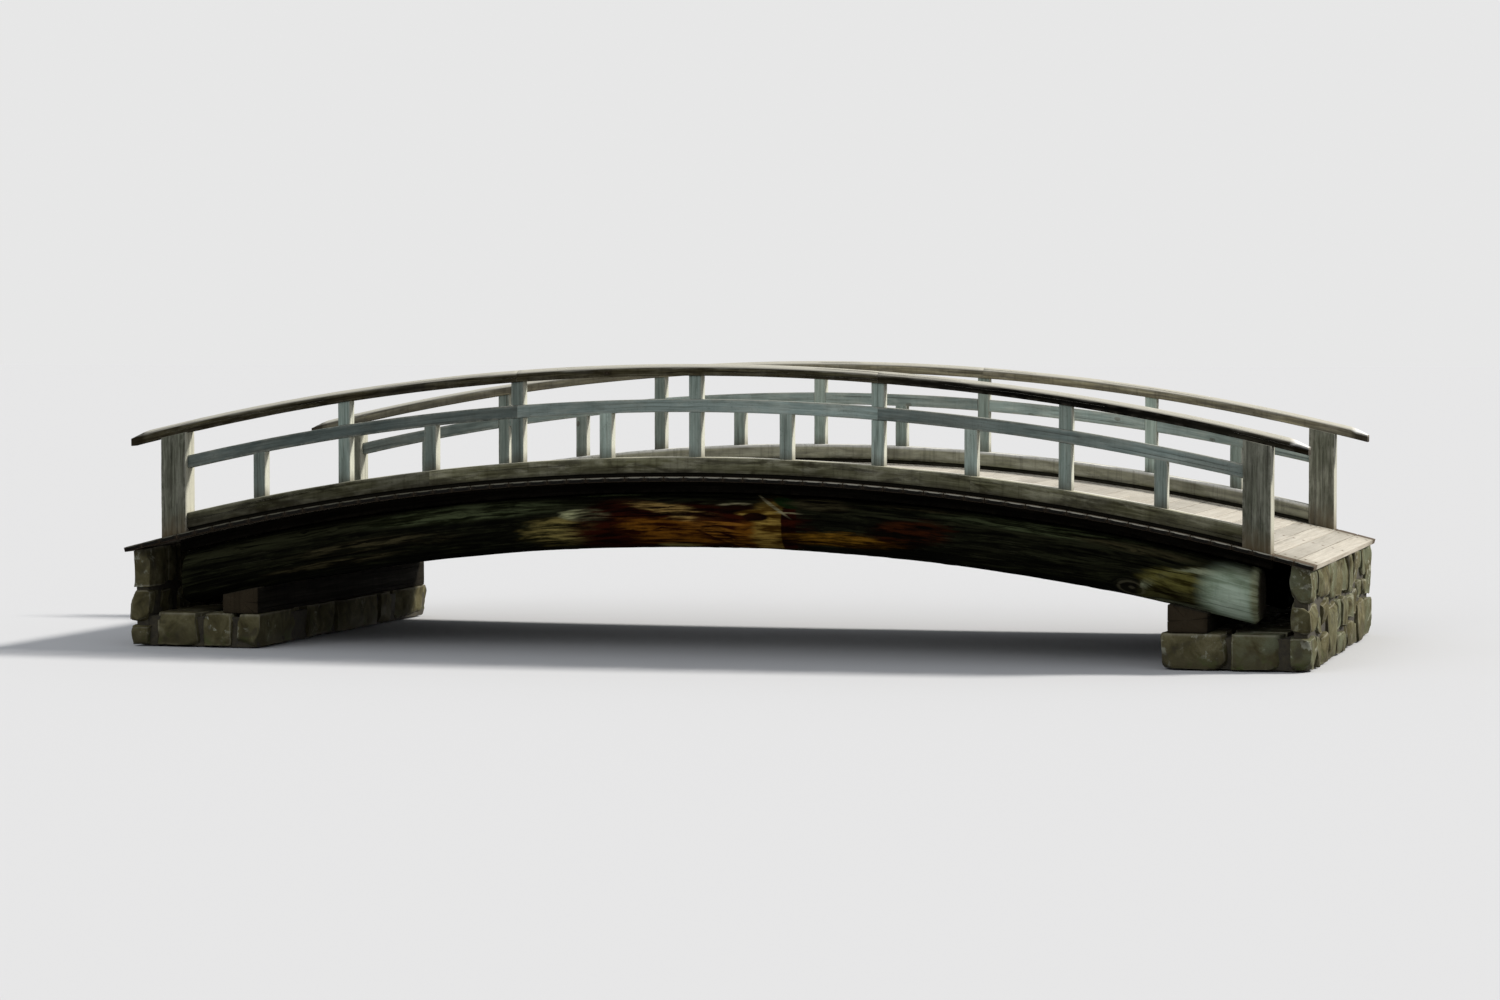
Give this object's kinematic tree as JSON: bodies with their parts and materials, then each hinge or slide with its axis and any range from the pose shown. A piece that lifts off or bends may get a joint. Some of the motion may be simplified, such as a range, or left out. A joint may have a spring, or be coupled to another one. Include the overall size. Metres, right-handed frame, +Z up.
{
  "type": "moon bridge",
  "caption": "Arched timber garden footbridge with log girders, a curved board deck, post-and-rail railings and stone abutments.",
  "frame": {"origin": "on the water level, at mid-span and midway between the railings, at the bottom centre of the part", "axes": "+X along the bridge, +Y across it away from the picture's camera, +Z up"},
  "size_m": [9.24, 3.9, 2.209],
  "materials": {
    "stone": "rough dressed stone, damp at the foot",
    "beam_wood": "dark aged timber",
    "log_wood": "stripped log, weathered and stained",
    "board_wood": "sun-bleached boards",
    "weathered_wood": "grey-brown weathered timber",
    "rail_wood": "brown weathered timber"
  },
  "bodies": {
    "root": {"left_abutment": "stone", "right_abutment": "stone", "left_sill": "beam_wood", "right_sill": "beam_wood", "front_girder": "log_wood", "middle_girder": "log_wood", "back_girder": "log_wood", "front_joist": "beam_wood", "middle_joist": "beam_wood", "back_joist": "beam_wood", "deck": "board_wood", "front_kerb": "weathered_wood", "back_kerb": "weathered_wood", "front_left_end_post": "weathered_wood", "front_right_end_post": "weathered_wood", "back_left_end_post": "weathered_wood", "back_right_end_post": "weathered_wood", "front_tall_post_1": "weathered_wood", "front_tall_post_2": "weathered_wood", "front_tall_post_3": "weathered_wood", "front_tall_post_4": "weathered_wood", "front_tall_post_5": "weathered_wood", "back_tall_post_1": "weathered_wood", "back_tall_post_2": "weathered_wood", "back_tall_post_3": "weathered_wood", "back_tall_post_4": "weathered_wood", "back_tall_post_5": "weathered_wood", "front_short_post_1": "weathered_wood", "front_short_post_2": "weathered_wood", "front_short_post_3": "weathered_wood", "front_short_post_4": "weathered_wood", "front_short_post_5": "weathered_wood", "front_short_post_6": "weathered_wood", "back_short_post_1": "weathered_wood", "back_short_post_2": "weathered_wood", "back_short_post_3": "weathered_wood", "back_short_post_4": "weathered_wood", "back_short_post_5": "weathered_wood", "back_short_post_6": "weathered_wood", "front_mid_rail": "weathered_wood", "back_mid_rail": "weathered_wood", "front_top_rail": "rail_wood", "back_top_rail": "rail_wood"}
  },
  "joints": []
}
